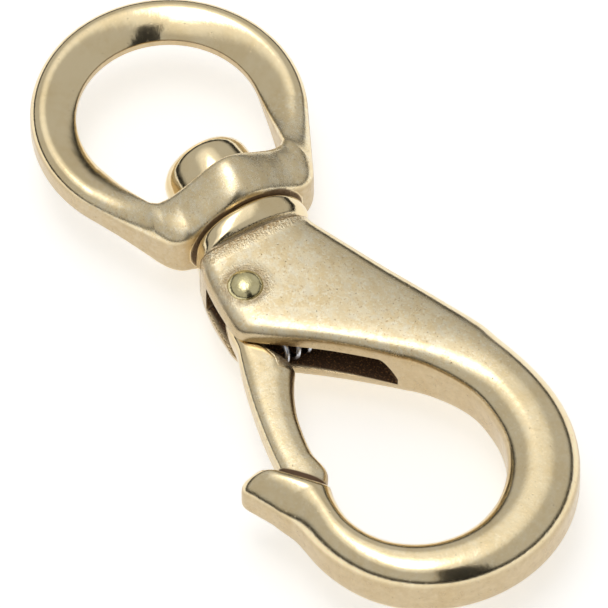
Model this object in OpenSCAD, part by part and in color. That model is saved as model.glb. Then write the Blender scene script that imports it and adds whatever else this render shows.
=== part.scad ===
// Swivel-eye snap hook: a cast eye turns on the post of a two-cheeked hook,
// and a sprung lever gate on a rivet closes the hook's mouth against its beak.
// +X runs along the swivel axis from the eye to the hook, +Y to the hook's back,
// +Z out of the front face. The origin is the centre of the eye's round end.

/* [Eye] */
// Width of the eye's opening, for a strap
eye_inside = 25.4; // [22:0.1:30]
// Width of the eye's bar at its round end, seen from the front
eye_bar_w = 6.3; // [5.3:0.1:7.3]
// Height of the eye's bar at its round end, front to back
eye_bar_t = 5.4; // [4.6:0.1:7]
// From the eye's centre to the barrel's inner face
barrel_x = 14.4; // [13.7:0.1:17]
// Length of the barrel along the swivel axis
barrel_len = 6.8; // [6:0.1:8.5]
// Height of the barrel at the swivel axis, front to back
barrel_t = 18.9; // [18:0.1:23]
// Height of the eye where its arms meet the barrel
arm_t = 7.4; // [6.6:0.1:11]
// Depth of the cup in the barrel's end
cup_depth = 1; // [0.6:0.1:1.6]

/* [Swivel] */
// Diameter of the post that the eye turns on
post_d = 8.4; // [7:0.1:10]
// Diameter of the post's upset head
head_d = 12.8; // [11:0.1:14.5]
// Height of the post's upset head
head_h = 6.2; // [4.5:0.1:7]
// Width of the rounded shoulder under the barrel
shoulder_w = 16.9; // [15.6:0.1:17.3]
// Height of the rounded shoulder, front to back
shoulder_t = 14.2; // [13.4:0.1:14.6]
// Length of the shoulder along the swivel axis
shoulder_len = 4.8; // [4.4:0.1:6]
// Clearance between post and barrel, on the radius
swivel_fit = 0.06; // [0.02:0.01:0.1]
// End float between the barrel and each of its stops
swivel_float = 0.3; // [0.2:0.05:0.6]

/* [Hook] */
// Overall length, from the eye's round end to the hook's far end
length = 107.6; // [104:0.2:115]
// Radius of the bowl inside the hook
bowl_r = 13.1; // [11.5:0.1:15]
// Width of the hook's bar at its back
back_w = 9.6; // [8.5:0.1:11]
// Width of the hook's bar at its far end
end_w = 8; // [6.8:0.1:9.5]
// Width of the hook's bar under the bowl, its narrowest place
low_w = 6; // [5:0.1:7.5]
// Thickness of the hook's bar, front to back
hook_t = 9.8; // [8.6:0.1:10.6]
// Slope of the beak's closing face against the swivel axis
close_angle = 41; // [36:0.5:48]

/* [Cheeks] */
// Thickness of the body across both cheeks
body_t = 10.6; // [9.6:0.1:12]
// Width of the slot between the cheeks
slot_w = 5; // [4:0.1:5.6]
// Width of the body at the neck
neck_w = 13.4; // [12:0.1:14.4]
// From the eye's centre to the front corner of the cheeks
corner_x = 38.2; // [37.4:0.1:39.4]
// From the swivel axis to the front corner of the cheeks
corner_y = 11.3; // [10.8:0.1:11.9]
// From the swivel axis to the slot's ceiling, which backs the spring
ceiling_y = 6; // [5:0.1:7]

/* [Gate] */
// From the eye's centre to the gate's rivet
pivot_x = 32.3; // [31.5:0.1:33.1]
// From the swivel axis to the gate's rivet
pivot_y = 6.5; // [6:0.1:6.8]
// Clearance between the gate and each cheek
gate_side_gap = 0.25; // [0.15:0.05:0.4]
// Clearance between the gate's end and the beak
close_gap = 0.45; // [0.3:0.05:0.8]
// Diameter of the rivet's shank
rivet_d = 3.2; // [2.6:0.1:3.8]
// Diameter of the rivet's domed heads
rivet_head_d = 5.1; // [4.6:0.1:5.8]
// Height of the rivet's domed heads
rivet_head_h = 1.5; // [1:0.1:2]
// Clearance between rivet and gate, on the radius
pivot_fit = 0.05; // [0.02:0.01:0.1]

/* [Spring] */
// Outer diameter of the coil
coil_d = 4.2; // [3.4:0.1:4.4]
// Diameter of the spring's wire
wire_d = 0.75; // [0.5:0.05:0.9]
// Number of turns
coil_turns = 6.5; // [5:0.5:9]

/* [Hidden] */
$fn = 64;
brass = [0.80, 0.70, 0.48];
rivet_brass = [0.74, 0.68, 0.42];
spring_steel = [0.72, 0.74, 0.78];

// Eye: the inner and outer outlines leave their arcs on straight arms
eye_in_r = eye_inside / 2;
eye_out_r = eye_in_r + eye_bar_w;
arm_in_at = 78.5;
arm_out_at = 64;
barrel_end = barrel_x + barrel_len;
cup_floor = barrel_end - cup_depth;
cup_side_gap = 0.15;
cup_w = shoulder_w + 2 * cup_side_gap;
cup_t = shoulder_t - 0.4;

// Forms of the eye's sections: [outer n, inner n, outer drop, inner drop, crest]
ring_form = [3, 8, 0.12, 0.6, 0.35];
arm_form = [4, 6, 0.2, 0.12, 0];
barrel_form = [7, 7, 0.2, 0.02, -0.8];

// Swivel: the head and the shoulder hold the barrel between them
head_seat = barrel_x - swivel_float;
shoulder_x = cup_floor + swivel_float;
shoulder_end = shoulder_x + shoulder_len;

// Gate: a plate that runs between the cheeks
pivot = [pivot_x, -pivot_y];
corner = [corner_x, -corner_y];
gate_t = slot_w - 2 * gate_side_gap;
tongue_r = 3.6;
tongue_gap = 1.6;
seat_depth = 0.55;
seat_gap = 0.2;
seat_z = body_t / 2 - seat_depth;
press_gap = 0.02;

// The beak's closing face is a straight line from the bowl's rim to the beak's tip
function polar(r, a) = [r * cos(a), r * sin(a)];
end_rise = -0.5;
bowl_x = length - eye_out_r - bowl_r - end_rise - end_w;
bowl = [bowl_x, 0];
close_at = -104.5;
close_rim = bowl + polar(bowl_r, close_at);
close_dir = -polar(1, close_angle);
close_out = [sin(close_angle), -cos(close_angle)];

// Spring: it stands on the gate's seat and reaches the slot's ceiling
coil_x = corner_x + 2.6;
spring_gap = 0.2;
seat_y = 3.6 - corner_y;

// Smooth value at t through a list of [t, value] keys; values may be numbers or lists
function key_slope(k, i) =
    let (a = max(i - 1, 0), b = min(i + 1, len(k) - 1))
    (k[b][1] - k[a][1]) / (k[b][0] - k[a][0]);
function through(k, t, i = 0) =
    i < len(k) - 2 && t > k[i + 1][0] ? through(k, t, i + 1) :
    let (
        d = k[i + 1][0] - k[i][0],
        u = (t - k[i][0]) / d,
        v = 1 - u
    )
    k[i][1] * v * v * (1 + 2 * u) + k[i + 1][1] * u * u * (3 - 2 * u)
    + key_slope(k, i) * d * u * v * v - key_slope(k, i + 1) * d * u * u * v;
function mix(a, b, t) = a + (b - a) * t;
function ease(t) = t * t * (3 - 2 * t);

// Upright section between two edge points: half a superellipse towards each edge, lowered
// towards it as a parabola that falls off from the crest. The form is
// [outer n, inner n, outer drop, inner drop, crest]; across runs from -1, inner, to 1, outer.
function crown(form, across) =
    let (crest = form[4])
    across > crest ?
        1 - form[2] * pow((across - crest) / (1 - crest), 2) :
        1 - form[3] * pow((crest - across) / (1 + crest), 2);
round_form = [2, 2, 0, 0, 0];
corner_crowding = 8;
function section(outer, inner, half_t, form, points) = [
    for (k = [0 : points - 1])
        let (
            even = 360 * (k + 0.5) / points,
            a = even + corner_crowding * sin(4 * even),
            n = cos(a) > 0 ? form[0] : form[1],
            r = pow(pow(abs(cos(a)), n) + pow(abs(sin(a)), n), -1 / n),
            across = r * cos(a),
            p = mix(inner, outer, (1 + across) / 2)
        )
        [p.x, p.y, half_t * r * sin(a) * crown(form, across)]
];

// Upright oval section across the swivel axis
function oval(x, half_w, half_t) = section([x, half_w], [x, -half_w], half_t, round_form, 48);

// Skin over a row of sections, closed into a loop or capped at both ends
module loft(rings, loop = false) {
    n = len(rings);
    m = len(rings[0]);
    walls = [
        for (i = [0 : n - (loop ? 1 : 2)], k = [0 : m - 1])
            let (a = i * m, b = ((i + 1) % n) * m, l = (k + 1) % m)
            [a + k, b + k, b + l, a + l]
    ];
    caps = loop ? [] : [
        [for (k = [0 : m - 1]) k],
        [for (k = [m - 1 : -1 : 0]) (n - 1) * m + k]
    ];
    polyhedron(points = [for (r = rings) each r], faces = concat(walls, caps), convexity = 8);
}

// Straight arm of the eye: the tangent that leaves an arc of radius r at angle a
function arm_y(r, a, x) = (r - x * cos(a)) / sin(a);

// One half of the eye, from the middle of its round end to the barrel's middle
arc_steps = 14;
arm_steps = 5;
barrel_steps = 7;
arm_in_x = barrel_x - 1.7;
arm_in_end = [arm_in_x, arm_y(eye_in_r, arm_in_at, arm_in_x)];
arm_out_x = barrel_end - 3;
arm_out_end = [arm_out_x, arm_y(eye_out_r, arm_out_at, arm_out_x)];
barrel_in_y = arm_in_end.y - 0.5;
corner_fill = 1.2;
barrel_out_y = arm_y(eye_out_r, arm_out_at, barrel_end);
eye_half = concat(
    [for (i = [0 : arc_steps]) let (t = i / arc_steps)
        [polar(eye_out_r, mix(180, arm_out_at, t)), polar(eye_in_r, mix(180, arm_in_at, t)),
            eye_bar_t / 2, ring_form]],
    [for (i = [1 : arm_steps]) let (t = i / arm_steps, e = ease(t))
        [mix(polar(eye_out_r, arm_out_at), arm_out_end, t), mix(polar(eye_in_r, arm_in_at), arm_in_end, t),
            mix(eye_bar_t, arm_t, e) / 2, mix(ring_form, arm_form, e)]],
    [for (i = [0 : barrel_steps]) let (t = 1 - i / barrel_steps)
        [[barrel_end, barrel_out_y * t], [barrel_x - corner_fill * pow(t, 5), barrel_in_y * t],
            mix(barrel_t, arm_t, t * t) / 2, mix(barrel_form, arm_form, t)]]
);
function mirrored(s) = [[s[0].x, -s[0].y], [s[1].x, -s[1].y], s[2], s[3]];
eye_loop = concat(eye_half, [for (i = [len(eye_half) - 2 : -1 : 1]) mirrored(eye_half[i])]);

// Turned shape about the swivel axis, drawn as [x, radius]
module turned(profile) {
    rotate([0, 90, 0]) rotate_extrude() polygon([for (p = profile) [p.y, p.x]]);
}

module swivel_eye() {
    color(brass) difference() {
        loft([for (s = eye_loop) section(s[0], s[1], s[2], s[3], 24)], true);
        translate([barrel_x - 3, 0, 0]) rotate([0, 90, 0])
            cylinder(d = post_d + 2 * swivel_fit, h = barrel_len + 6);
        loft([for (x = [cup_floor, barrel_end + 1]) oval(x, cup_w / 2, cup_t / 2)]);
    }
}

// Edges of the body, and the places along it in mm where its stretches begin
lip_at = 157;
lip_rise = 3.5;
back_start = 129;
lip_in = bowl + polar(bowl_r + lip_rise, lip_at);
back_out = bowl + polar(bowl_r + lip_rise + back_w - 1.5, back_start);
neck_x = shoulder_x;
neck_shift = 1.6;
neck_out = [neck_x, neck_w / 2 - neck_shift];
neck_in = [neck_x, -neck_w / 2 - neck_shift];
function back_at(t) = mix(neck_out, back_out, t);
function body_key(outer, inner, half_t) = concat(outer, inner, [half_t]);
hook_start = 35;
beak_start = 112;
beak_end = 121;

// Hook round the bowl: [place, [inner angle, inner rise, outer angle, bar width, half thickness]]
hook_keys = [
    [hook_start, [lip_at, lip_rise, back_start, back_w - 1.5, mix(body_t, hook_t, 0.4) / 2]],
    [40, [138, 1.7, 121, back_w - 0.9, mix(body_t, hook_t, 0.7) / 2]],
    [46, [118, 0.5, 109, back_w - 0.6, hook_t / 2]],
    [53, [95, -0.6, 93, back_w, hook_t / 2]],
    [67, [50, -1.2, 50, back_w + 0.2, hook_t / 2]],
    [82, [0, end_rise, 0, end_w, hook_t / 2]],
    [95, [-45, 0.1, -45, low_w + 0.6, hook_t / 2]],
    [103, [-74, 0, -74, low_w, hook_t / 2]],
    [108, [-90, -0.4, -90, low_w + 0.4, hook_t / 2]],
    [beak_start, [close_at + 3, -0.7, -101, low_w + 2.5, hook_t / 2]]
];
function hook_station(t) =
    let (k = through(hook_keys, t), r = bowl_r + k[1])
    body_key(bowl + polar(r + k[3], k[2]), bowl + polar(r, k[0]), k[4]);

// Body from the neck to the hook: [place, [outer x, y, inner x, y, half thickness]]
body_keys = [
    [0, body_key(back_at(0), neck_in, body_t / 2)],
    [7, body_key(back_at(0.22), [mix(neck_x, corner_x, 0.45), mix(neck_in.y, corner.y, 0.72)], body_t / 2)],
    [14, body_key(back_at(0.43), corner + [-2.4, 0.05], body_t / 2)],
    [16.5, body_key(back_at(0.50), corner + [-0.2, 0.15], body_t / 2)],
    [19, body_key(back_at(0.57), corner + [1.0, 1.6], body_t / 2)],
    [28, body_key(back_at(0.80), mix(corner, lip_in, 0.55) + [-0.5, 0.5], body_t / 2)],
    [hook_start, body_key(back_out, lip_in, mix(body_t, hook_t, 0.4) / 2)],
    [hook_start + 5, hook_station(hook_start + 5)]
];

// Beak: its inner edge runs down the closing face, and its end is rounded off
function beak_out(rise, a) = bowl + polar(bowl_r + low_w + rise, a);
beak_keys = [
    [beak_start - 3, hook_station(beak_start - 3)],
    [beak_start, hook_station(beak_start)],
    [114, body_key(beak_out(3.5, -106.5), close_rim + close_dir, hook_t / 2)],
    [117, body_key(beak_out(5.1, -111), close_rim + close_dir * 4.2, hook_t / 2 - 0.1)],
    [119, body_key(beak_out(4.9, -114.5), close_rim + close_dir * 6.2, hook_t / 2 - 0.6)],
    [beak_end, body_key(beak_out(4.1, -117), close_rim + close_dir * 7.8, hook_t / 2 - 1.9)]
];

// Forms of the sections along the body and the hook: flat cheeks, then a crowned bar
form_keys = [
    [0, [2.7, 7, 0, 0.12, -0.6]],
    [28, [2.7, 7, 0, 0.13, -0.55]],
    [46, [2.7, 8, 0, 0.3, -0.2]],
    [beak_start, [2.7, 8, 0, 0.3, -0.2]],
    [beak_end, [2.7, 6, 0, 0.2, 0]]
];
function body_section(s, t) = section([s[0], s[1]], [s[2], s[3]], s[4], through(form_keys, t), 28);
body_start = 1.75;
body_rings = concat(
    [for (t = [body_start : 1.75 : hook_start - 1]) body_section(through(body_keys, t), t)],
    [for (t = [hook_start : 2.5 : beak_start - 1]) body_section(hook_station(t), t)],
    [for (t = [beak_start : 0.75 : beak_end]) body_section(through(beak_keys, t), t)]
);

// Shoulder: a round collar that turns in the cup, then an oval dome that drops to the cheeks
collar_r = cup_t / 2 - 0.5;
dome_gap = 0.2;
dome_x = barrel_end + dome_gap;
dome_w = shoulder_w / 2;
dome_t = shoulder_t / 2;
shoulder_rings = [
    oval(shoulder_x, collar_r - 0.2, collar_r - 0.2),
    oval(barrel_end - 0.1, collar_r, collar_r),
    oval(dome_x, dome_w - 1.2, dome_t - 0.55),
    oval(dome_x + 0.3, dome_w - 0.55, dome_t - 0.3),
    oval(dome_x + 0.9, dome_w - 0.1, dome_t - 0.05),
    oval(dome_x + 1.8, dome_w, dome_t),
    oval(shoulder_end - 1.1, dome_w - 0.15, dome_t - 0.25),
    oval(shoulder_end - 0.5, dome_w - 0.4, dome_t - 0.8),
    oval(shoulder_end, dome_w - 0.8, dome_t - 1.6),
    oval(shoulder_end + 0.1, dome_w - 1.2, dome_t - 2.5)
];

// Slot between the cheeks: round the rivet, up to the ceiling and out at the throat
module slot_outline() {
    translate(pivot) circle(r = tongue_r + tongue_gap);
    polygon([
        pivot + [-tongue_r - tongue_gap, 0],
        [coil_x - coil_d, ceiling_y],
        [lip_in.x + 2, ceiling_y],
        [lip_in.x + 8, -corner_y - 8],
        pivot + [-tongue_r - tongue_gap, -corner_y]
    ]);
}

module hook_body() {
    head_r = head_d / 2;
    post_r = post_d / 2;
    color(brass) difference() {
        union() {
            loft(body_rings);
            loft(shoulder_rings);
            turned([
                [head_seat - head_h, 0],
                [head_seat - head_h, head_r - 2],
                [head_seat - head_h + 0.6, head_r - 0.7],
                [head_seat - head_h + 2, head_r],
                [head_seat - 0.6, head_r],
                [head_seat, head_r - 0.6],
                [head_seat, post_r],
                [shoulder_end, post_r],
                [shoulder_end, 0]
            ]);
        }
        translate([0, 0, -slot_w / 2]) linear_extrude(slot_w) slot_outline();
        translate([pivot.x, pivot.y, -body_t])
            cylinder(d = rivet_d + 2 * press_gap, h = 2 * body_t);
        for (side = [0, 180])
            translate([pivot.x, pivot.y, 0]) rotate([side, 0, 0]) translate([0, 0, seat_z])
                cylinder(d = rivet_head_d + 2 * seat_gap, h = body_t);
    }
}

// Gate: straight outer edge, hollowed inner edge, square end along the closing face.
// Between the rivet and the nose its inner edge has a flat seat for the spring.
gate_end_rim = close_rim - close_out * close_gap;
gate_foot = gate_end_rim + close_dir * 0.1;
gate_toe = gate_end_rim + close_dir * 6.3;
gate_root = corner + [0.2, -0.1];
gate_heel = gate_root + [3.2, -1.1];
gate_nose = [coil_x + coil_d / 2 + 1.2, seat_y + 2.4];
hollow_keys = [[0, 0], [0.11, -0.8], [0.25, -1.4], [0.43, -1.5], [0.7, -0.6], [0.88, 0.9], [1, 0]];
function blade_station(t) =
    concat(
        mix(gate_heel, gate_toe, t) + [0, -2 * t * (1 - t)],
        mix(gate_nose, gate_foot, t) + [0, through(hollow_keys, t)]
    );
tongue_stations = [
    concat(mix(gate_root, gate_heel, 0.75), [coil_x + coil_d / 2, seat_y]),
    concat(gate_root, [coil_x - coil_d / 2, seat_y]),
    concat(mix(pivot + [-0.5, -tongue_r], gate_root, 0.5), pivot + [tongue_r, 1]),
    concat(pivot + [-0.5, 0.2 - tongue_r], pivot + [0.5, tongue_r - 0.2])
];
gate_form = [3.6, 3, 0.03, 0.1, 0];
function gate_section(s) = section([s[0], s[1]], [s[2], s[3]], gate_t / 2, gate_form, 24);

module gate_lever() {
    color(brass) difference() {
        union() {
            loft([
                for (t = [1 : -0.05 : 0]) gate_section(blade_station(t)),
                for (s = tongue_stations) gate_section(s)
            ]);
            translate([pivot.x, pivot.y, -gate_t / 2]) cylinder(r = tongue_r, h = gate_t);
        }
        translate([pivot.x, pivot.y, -gate_t]) cylinder(d = rivet_d + 2 * pivot_fit, h = 2 * gate_t);
    }
}

module pivot_rivet() {
    r = rivet_d / 2;
    head_r = rivet_head_d / 2;
    dome_r = (head_r * head_r + rivet_head_h * rivet_head_h) / (2 * rivet_head_h);
    color(rivet_brass) translate([pivot.x, pivot.y, 0]) {
        cylinder(r = r, h = 2 * seat_z, center = true);
        for (side = [0, 180])
            rotate([side, 0, 0]) translate([0, 0, seat_z]) intersection() {
                translate([0, 0, rivet_head_h - dome_r]) sphere(r = dome_r);
                cylinder(r = head_r, h = 2 * rivet_head_h);
            }
    }
}

// Coil from the gate's seat to the slot's ceiling, open at both ends
module gate_spring() {
    sides = 8;
    steps = 16;
    start = -60;
    coil_r = (coil_d - wire_d) / 2;
    low = seat_y + spring_gap + wire_d / 2;
    high = ceiling_y - spring_gap - wire_d / 2;
    color(spring_steel) loft([
        for (i = [0 : coil_turns * steps])
            let (t = i / steps, a = start + 360 * t, y = mix(low, high, t / coil_turns))
            [for (k = [0 : sides - 1])
                let (b = 360 * k / sides, r = coil_r + wire_d / 2 * cos(b))
                [coil_x + r * cos(a), y + wire_d / 2 * sin(b), r * sin(a)]]
    ]);
}

swivel_eye();
hook_body();
gate_lever();
pivot_rivet();
gate_spring();
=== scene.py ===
# %% [markdown]
# A brass swivel snap hook. The solids of the part are loaded first, in metres, and stay as the
# fixed frame. Each of them is faceted, so every one is replaced here by a finer surface that
# follows the same named sizes. Lengths in this lesson are in millimetres until a mesh is made.

# %% Load the frame
import math

import bpy
import numpy as np
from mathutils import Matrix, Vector


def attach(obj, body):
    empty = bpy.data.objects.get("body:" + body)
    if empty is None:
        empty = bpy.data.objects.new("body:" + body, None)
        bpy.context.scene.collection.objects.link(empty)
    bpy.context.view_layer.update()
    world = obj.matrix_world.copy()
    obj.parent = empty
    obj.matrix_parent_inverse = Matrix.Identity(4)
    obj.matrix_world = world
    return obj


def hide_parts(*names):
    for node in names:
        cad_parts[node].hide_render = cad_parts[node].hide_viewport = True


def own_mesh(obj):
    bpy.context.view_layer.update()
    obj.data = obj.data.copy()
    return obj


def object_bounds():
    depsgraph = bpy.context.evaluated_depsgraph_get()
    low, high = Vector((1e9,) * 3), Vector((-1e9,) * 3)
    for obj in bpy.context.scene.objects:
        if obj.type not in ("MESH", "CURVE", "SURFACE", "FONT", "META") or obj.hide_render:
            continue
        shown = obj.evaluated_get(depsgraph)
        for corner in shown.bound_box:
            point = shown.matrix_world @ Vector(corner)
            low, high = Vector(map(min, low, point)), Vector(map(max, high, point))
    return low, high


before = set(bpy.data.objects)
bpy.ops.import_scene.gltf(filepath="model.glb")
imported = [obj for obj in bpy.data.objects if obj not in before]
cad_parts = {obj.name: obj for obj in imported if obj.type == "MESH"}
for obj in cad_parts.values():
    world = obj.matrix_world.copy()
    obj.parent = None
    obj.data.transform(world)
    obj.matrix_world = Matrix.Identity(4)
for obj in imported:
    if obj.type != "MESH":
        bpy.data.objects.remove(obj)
cad_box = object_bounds()
MM = 0.001

# %% [markdown]
# The camera. The picture was taken with a long lens, from about 55 degrees above the table, so
# lines that are parallel stay nearly so. A far camera with a narrow angle gives that, and unlike
# an orthographic one it can be moved round the part and still take it all in.

# %% Camera
AZIMUTH, ELEVATION = math.radians(60.11), math.radians(55.4)
FRAME_WIDTH = 608 / 7.367
LOOK_AT = Vector((35.78, 0.66, 0)) * MM
CAMERA_FAR = 3.0

towards_camera = Vector((
    math.sin(AZIMUTH) * math.cos(ELEVATION),
    -math.cos(AZIMUTH) * math.cos(ELEVATION),
    math.sin(ELEVATION),
))
camera = bpy.data.objects.new("camera", bpy.data.cameras.new("camera"))
bpy.context.scene.collection.objects.link(camera)
camera.location = LOOK_AT + towards_camera * CAMERA_FAR
camera.rotation_mode = "QUATERNION"
camera.rotation_quaternion = (-towards_camera).to_track_quat("-Z", "Y")
camera.data.sensor_width = 36
camera.data.lens = 36 * CAMERA_FAR / (FRAME_WIDTH * MM)
camera.data.clip_start, camera.data.clip_end = 0.05, 20
bpy.context.scene.camera = camera
print("lens", round(camera.data.lens), "mm")

# %% [markdown]
# Tools for shapes. A cast bar can be drawn as a row of sections, each standing upright between
# two points of its edges, with a skin over them: a profile carried along a path. The points come
# from a few keys, joined by smooth cubic curves, and the whole skin is worked out as arrays.

# %% Curves and sections
def polar(radius, degrees):
    """Point at a radius and an angle: (r cos a, r sin a)."""
    a = np.radians(degrees)
    return np.stack(np.broadcast_arrays(radius * np.cos(a), radius * np.sin(a)), -1)


def mix(a, b, t):
    """Straight blend: a + (b - a) t."""
    return a + (b - a) * t


def ease(t):
    """Slow start and end: 3 t^2 - 2 t^3, with t held between 0 and 1."""
    t = np.clip(t, 0, 1)
    return t * t * (3 - 2 * t)


def through(keys, t):
    """Cubic curve through [place, value] keys; the slope at a key is that of its neighbours' chord."""
    place = np.array([k[0] for k in keys], float)
    value = np.array([np.atleast_1d(k[1]) for k in keys], float)
    slope = np.empty_like(value)
    slope[1:-1] = (value[2:] - value[:-2]) / (place[2:] - place[:-2])[:, None]
    slope[0] = (value[1] - value[0]) / (place[1] - place[0])
    slope[-1] = (value[-1] - value[-2]) / (place[-1] - place[-2])
    t = np.atleast_1d(np.asarray(t, float))
    i = np.clip(np.searchsorted(place, t) - 1, 0, len(place) - 2)
    d = (place[i + 1] - place[i])[:, None]
    u = (t[:, None] - place[i][:, None]) / d
    v = 1 - u
    return (value[i] * v * v * (1 + 2 * u) + value[i + 1] * u * u * (3 - 2 * u)
            + slope[i] * d * u * v * v - slope[i + 1] * d * u * u * v)


def around(first, last, count):
    """Angles from first to last in degrees, crowded towards the corners of a section."""
    even = np.radians(np.linspace(first, last, count))
    return even + 0.14 * np.sin(4 * even)


def across_and_up(a, form):
    """Superellipse in polar form: r = (|cos a|^n + |sin a|^n)^(-1/n), across = r cos a, up = r sin a.
    A form is [outer n, inner n, outer drop, inner drop, crest, outer power, inner power]: the n of
    each half, and how far the face is lowered towards each edge, as a power of the distance from
    the crest."""
    n = np.where(np.cos(a) > 0, form[:, :1], form[:, 1:2])
    r = (np.abs(np.cos(a)) ** n + np.abs(np.sin(a)) ** n) ** (-1 / n)
    across, crest = r * np.cos(a), form[:, 4:5]
    fall = form[:, 2:3] * (np.maximum(across - crest, 0) / (1 - crest)) ** form[:, 5:6]
    fall = fall + form[:, 3:4] * (np.maximum(crest - across, 0) / (1 + crest)) ** form[:, 6:7]
    return across, r * np.sin(a) * (1 - fall)


def upright(outer, inner, across, z):
    """Points between two edges: inner + (outer - inner) (1 + across) / 2, at height z."""
    plan = inner[:, None] + (outer - inner)[:, None] * ((1 + across) / 2)[..., None]
    return np.concatenate([plan, z[..., None]], -1)


def section_grid(outer, inner, half_t, form, points):
    """Grid of upright sections, one row for each station of a path; also how far across each point is."""
    a = around(180 / points, 360 + 180 / points, points + 1)[None, :-1]
    across, up = across_and_up(a, form)
    return upright(outer, inner, across, np.reshape(half_t, (-1, 1)) * up), across


def oval_grid(rows, points):
    """Grid of ovals about the X axis, from rows of [x, half width, half height]."""
    x, w, t = np.array(rows, float).T[:, :, None]
    a = np.radians(360 * (np.arange(points) + 0.5) / points)[None]
    return np.stack([x + 0 * a, w * np.cos(a), t * np.sin(a)], -1)


# %% Skin over a grid
def skin(name, grid, loop=False, sharp=40, **attributes):
    """Closed mesh over a grid of closed rings in mm. The rings join each other in a loop, or the
    first and the last are closed by a fan to their middle. Attributes are numbers per grid point."""
    rows, columns = grid.shape[:2]
    points = grid.reshape(-1, 3)
    i = np.arange(rows if loop else rows - 1)[:, None] * columns
    k = np.arange(columns)[None]
    following = (i + columns) % (rows * columns)
    turn = (k + 1) % columns
    quads = np.stack([i + k, i + turn, following + turn, following + k], -1).reshape(-1, 4)
    faces = [quads]
    values = {key: np.broadcast_to(value, (rows, columns)).ravel() for key, value in attributes.items()}
    if not loop:
        points = np.concatenate([points, grid[[0, -1]].mean(1)])
        ring, n = np.arange(columns), rows * columns
        last = (rows - 1) * columns
        fans = [np.stack([ring, np.full(columns, n), np.roll(ring, -1)], -1),
                np.stack([last + np.roll(ring, -1), np.full(columns, n + 1), last + ring], -1)]
        faces += fans
        values = {key: np.append(v, [v[0], v[-1]]) for key, v in values.items()}
    corner = points[quads]
    volume = np.einsum("ij,ij->", np.cross(corner[:, 0], corner[:, 1]), corner[:, 2])
    volume += np.einsum("ij,ij->", np.cross(corner[:, 0], corner[:, 2]), corner[:, 3])
    if volume < 0:
        faces = [f[:, ::-1] for f in faces]
    mesh = bpy.data.meshes.new(name)
    mesh.from_pydata((points * MM).tolist(), [], [f for part in faces for f in part.tolist()])
    mesh.polygons.foreach_set("use_smooth", np.ones(len(mesh.polygons), bool))
    for key, value in values.items():
        layer = mesh.attributes.new(key, "FLOAT", "POINT")
        layer.data.foreach_set("value", value.astype(np.float32))
    mesh.set_sharp_from_angle(angle=math.radians(sharp))
    piece = bpy.data.objects.new(name, mesh)
    bpy.context.scene.collection.objects.link(piece)
    print(name, len(points), "points, volume", round(abs(volume) / 6), "mm3")
    return piece


def dress(piece, body, node, material):
    """Puts a finished piece on its body, in place of its solid, with its finish."""
    piece.data.materials.append(material)
    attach(piece, body)
    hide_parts(node)


# %% [markdown]
# Finishes are node trees. Writing them as sums and products is easier to read than wiring, so one
# small class stands for a socket: arithmetic on it adds Math nodes, and make() adds any other
# node. Patterns read Object coordinates, turned from metres into millimetres.

# %% A socket that can be calculated with
class Sock:
    def __init__(self, tree, socket=None):
        self.tree, self.socket = tree, socket

    def make(self, kind, settings=None, inputs=None, out=0):
        """Adds a node: its settings first, then the values or links of its sockets."""
        node = self.tree.nodes.new(kind)
        for key, value in (settings or {}).items():
            setattr(node, key, value)
        for key, value in (inputs or {}).items():
            if isinstance(value, Sock):
                self.tree.links.new(value.socket, node.inputs[key])
            else:
                node.inputs[key].default_value = value
        return Sock(self.tree, node.outputs[out])

    def math(self, operation, a, b=0.0):
        return self.make("ShaderNodeMath", {"operation": operation}, {0: a, 1: b})

    def __add__(self, other):
        return self.math("ADD", self, other)

    __radd__ = __add__

    def __mul__(self, other):
        return self.math("MULTIPLY", self, other)

    __rmul__ = __mul__

    def __sub__(self, other):
        return self.math("SUBTRACT", self, other)

    def __rsub__(self, other):
        return self.math("SUBTRACT", other, self)

    def noise(self, scale, detail=3.0, rough=0.5):
        """Soft noise at this place, about 0 to 1; scale is in features per mm."""
        return self.make("ShaderNodeTexNoise", {}, {
            "Vector": self, "Scale": scale, "Detail": detail, "Roughness": rough})

    def step(self, low, high):
        """0 below low and 1 above high, with a smooth rise between."""
        return self.make("ShaderNodeMapRange", {"interpolation_type": "SMOOTHSTEP"}, {
            "Value": self, "From Min": low, "From Max": high})

    def blend(self, a, b):
        """Colour a where this mask is 0 and b where it is 1."""
        return self.make("ShaderNodeMix", {"data_type": "RGBA"}, {0: self, 6: a, 7: b}, out=2)

    def stretch(self, x, y, z):
        """Place with each axis scaled by its own number."""
        return self.make("ShaderNodeVectorMath", {"operation": "MULTIPLY"}, {0: self, 1: (x, y, z)})


def finish_tree(name, metallic, **fixed):
    """New material: returns it, its Principled shader, and the place on the part in mm."""
    material = bpy.data.materials.new(name)
    material.use_nodes = True
    tree = material.node_tree
    shader = tree.nodes["Principled BSDF"]
    shader.inputs["Metallic"].default_value = metallic
    for key, value in fixed.items():
        shader.inputs[key.replace("_", " ")].default_value = value
    start = Sock(tree)
    coordinates = start.make("ShaderNodeTexCoord", out=3)
    return material, shader, coordinates.stretch(1000, 1000, 1000)


def connect(shader, socket_name, sock):
    sock.tree.links.new(sock.socket, shader.inputs[socket_name])


def attribute(sock, name):
    return sock.make("ShaderNodeAttribute", {"attribute_name": name}, out=2)
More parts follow.
